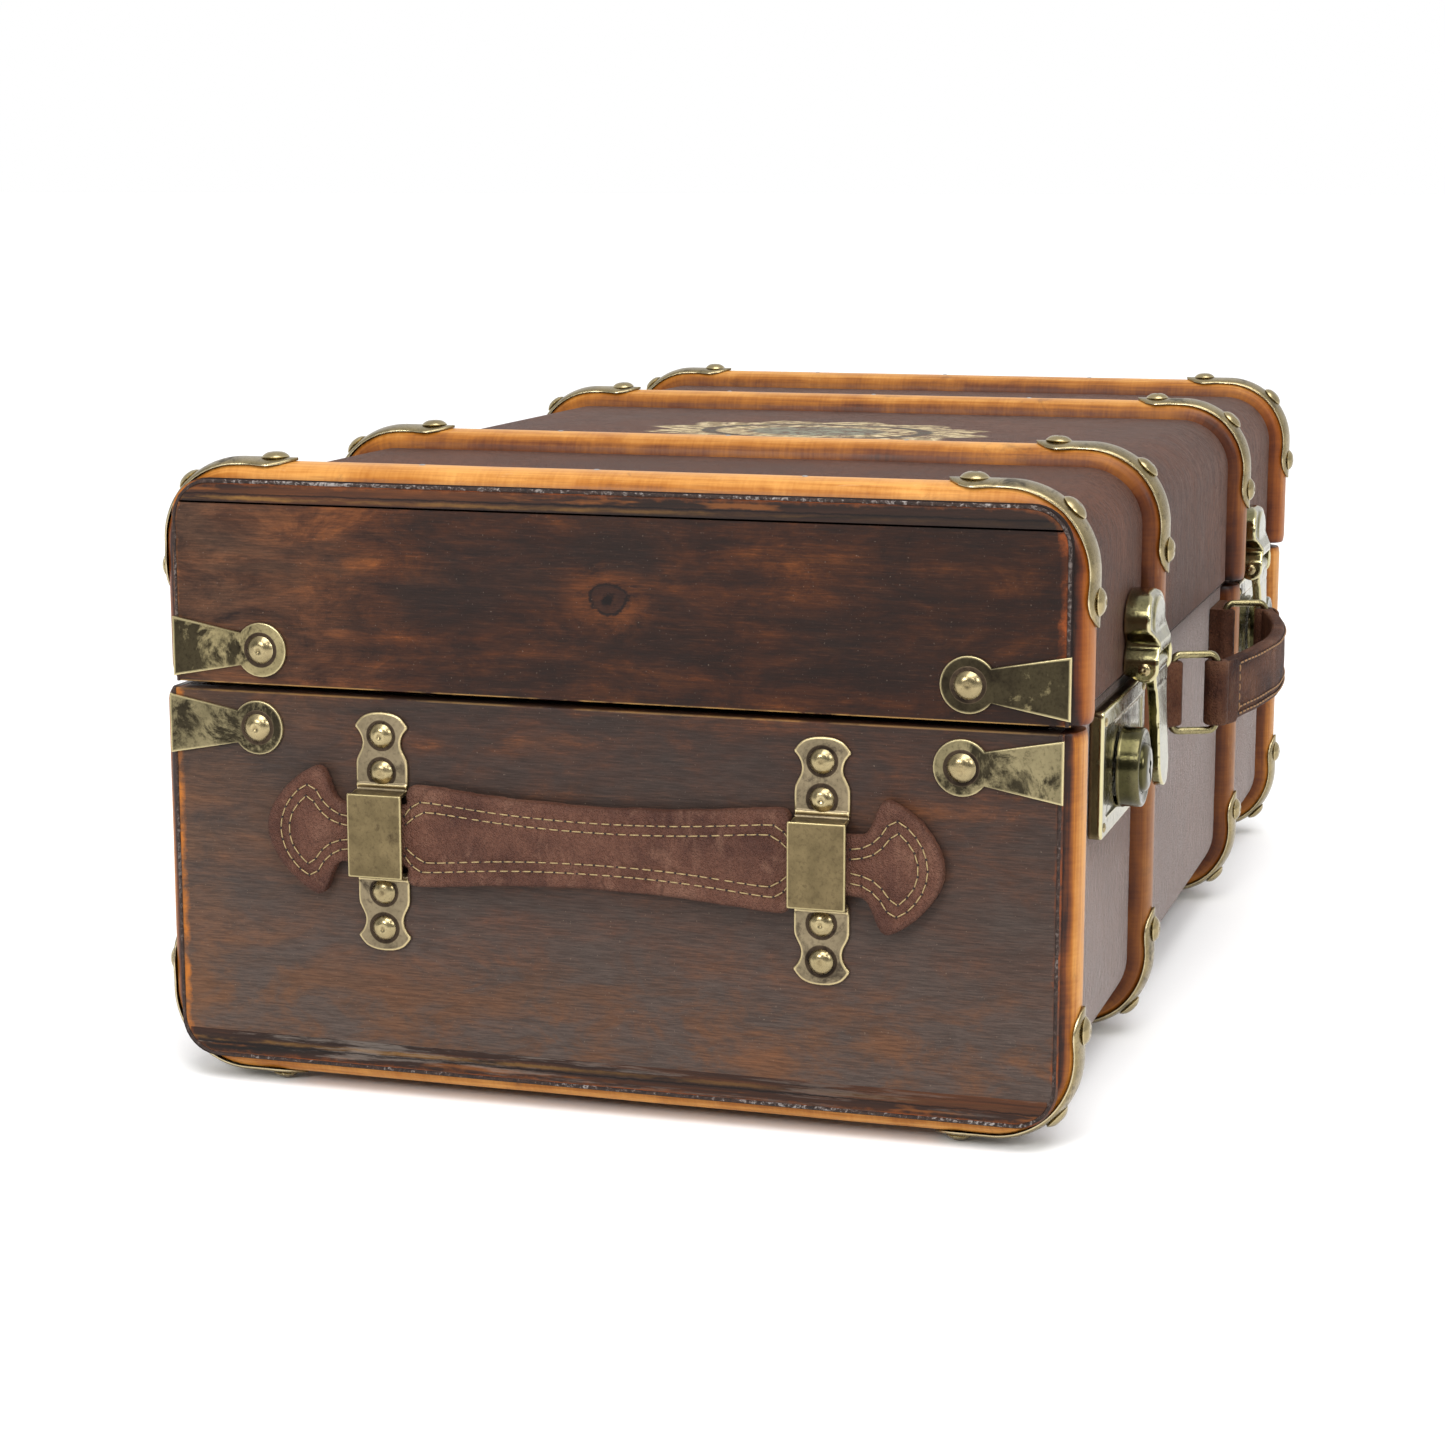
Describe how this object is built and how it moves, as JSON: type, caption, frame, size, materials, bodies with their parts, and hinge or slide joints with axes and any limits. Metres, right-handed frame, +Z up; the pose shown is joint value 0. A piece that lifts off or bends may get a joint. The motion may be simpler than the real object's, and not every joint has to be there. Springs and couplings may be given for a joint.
{
  "type": "steamer trunk",
  "caption": "Small flat steamer trunk: a wooden case bound with bent slats and riveted brass straps, a hinged lid, two slide latches, a front carrying handle and a leather handle on each end.",
  "frame": {"origin": "under the middle of the trunk, on the plane that it stands on", "axes": "+X along the length, +Y from the latches towards the hinge, +Z up"},
  "size_m": [0.5278, 0.3434, 0.2138],
  "materials": {
    "antique_brass": "antique, lacquered, patinated in the hollows",
    "latch_brass": "antique, glossy",
    "panel_wood": "dark mahogany stain under satin lacquer, worn at the edges",
    "slat_wood": "orange-brown stain under satin lacquer",
    "cover": "fine-grained leatherette, satin",
    "handle_leather": "reddish brown, matte, worn",
    "grip_leather": "dark brown, satin"
  },
  "bodies": {
    "base": {"base_wrap": "cover", "base_end_left": "panel_wood", "clip_base_left_front": "antique_brass", "clip_base_left_back": "antique_brass", "loop_left_front": "antique_brass", "loop_left_back": "antique_brass", "lock_plate_left": "latch_brass", "base_end_right": "panel_wood", "clip_base_right_front": "antique_brass", "clip_base_right_back": "antique_brass", "loop_right_front": "antique_brass", "loop_right_back": "antique_brass", "lock_plate_right": "latch_brass", "base_hoop_1": "slat_wood", "strap_1_base_front": "antique_brass", "strap_1_base_back": "antique_brass", "base_hoop_2": "slat_wood", "strap_2_base_front": "antique_brass", "strap_2_base_back": "antique_brass", "base_hoop_3": "slat_wood", "strap_3_base_front": "antique_brass", "strap_3_base_back": "antique_brass", "base_hoop_4": "slat_wood", "strap_4_base_front": "antique_brass", "strap_4_base_back": "antique_brass", "front_tab_left": "grip_leather", "front_tab_right": "grip_leather", "hinge_leaf_base": "antique_brass", "hinge_pin": "antique_brass"},
    "lid": {"lid_wrap": "cover", "lid_end_left": "panel_wood", "clip_lid_left_front": "antique_brass", "clip_lid_left_back": "antique_brass", "latch_left": "latch_brass", "lid_end_right": "panel_wood", "clip_lid_right_front": "antique_brass", "clip_lid_right_back": "antique_brass", "latch_right": "latch_brass", "lid_hoop_1": "slat_wood", "strap_1_lid_front": "antique_brass", "strap_1_lid_back": "antique_brass", "lid_hoop_2": "slat_wood", "strap_2_lid_front": "antique_brass", "strap_2_lid_back": "antique_brass", "lid_hoop_3": "slat_wood", "strap_3_lid_front": "antique_brass", "strap_3_lid_back": "antique_brass", "lid_hoop_4": "slat_wood", "strap_4_lid_front": "antique_brass", "strap_4_lid_back": "antique_brass", "hinge_leaf_lid": "antique_brass"},
    "end_handle_left": {"end_handle_left": "handle_leather"},
    "hasp_left": {"hasp_left": "latch_brass"},
    "lock_button_left": {"lock_button_left": "latch_brass"},
    "end_handle_right": {"end_handle_right": "handle_leather"},
    "hasp_right": {"hasp_right": "latch_brass"},
    "lock_button_right": {"lock_button_right": "latch_brass"},
    "front_ring_left": {"front_ring_left": "antique_brass"},
    "front_ring_right": {"front_ring_right": "antique_brass"},
    "front_grip": {"front_grip": "grip_leather"}
  },
  "joints": [
    {"name": "lid_hinge", "type": "hinge", "parent": "base", "child": "lid", "pos_m": [0, 0.16453, 0.136], "axis": [-1, 0, 0], "range_deg": [0, 100]},
    {"name": "hasp_left_hinge", "type": "hinge", "parent": "lid", "child": "hasp_left", "pos_m": [-0.1374, -0.14527, 0.1394], "axis": [-1, 0, 0], "range_deg": [0, 95]},
    {"name": "hasp_right_hinge", "type": "hinge", "parent": "lid", "child": "hasp_right", "pos_m": [0.1374, -0.14527, 0.1394], "axis": [-1, 0, 0], "range_deg": [0, 95]},
    {"name": "lock_button_left_slide", "type": "slide", "parent": "base", "child": "lock_button_left", "axis": [-1, 0, 0], "range_m": [0, 0.005], "stiffness_N_per_m": 200},
    {"name": "lock_button_right_slide", "type": "slide", "parent": "base", "child": "lock_button_right", "axis": [1, 0, 0], "range_m": [0, 0.005], "stiffness_N_per_m": 200},
    {"name": "end_handle_left_lift", "type": "slide", "parent": "base", "child": "end_handle_left", "axis": [-1, 0, 0], "range_m": [0, 0.0017]},
    {"name": "end_handle_right_lift", "type": "slide", "parent": "base", "child": "end_handle_right", "axis": [1, 0, 0], "range_m": [0, 0.0017]},
    {"name": "front_ring_left_hinge", "type": "hinge", "parent": "base", "child": "front_ring_left", "pos_m": [-0.07, -0.14227, 0.1178], "axis": [0, 0, 1], "range_deg": [-85, 35]},
    {"name": "front_ring_right_hinge", "type": "hinge", "parent": "base", "child": "front_ring_right", "pos_m": [0.07, -0.14227, 0.1178], "axis": [0, 0, 1], "range_deg": [-85, 35]},
    {"name": "front_grip_hinge", "type": "hinge", "parent": "front_ring_left", "child": "front_grip", "pos_m": [-0.06303, -0.15723, 0.1178], "axis": [0, 0, 1], "range_deg": [-35, 85]}
  ],
  "couplings": [
    {"joint": "front_ring_right_hinge", "follows": "front_ring_left_hinge", "ratio": 1},
    {"joint": "front_grip_hinge", "follows": "front_ring_left_hinge", "ratio": -1}
  ]
}
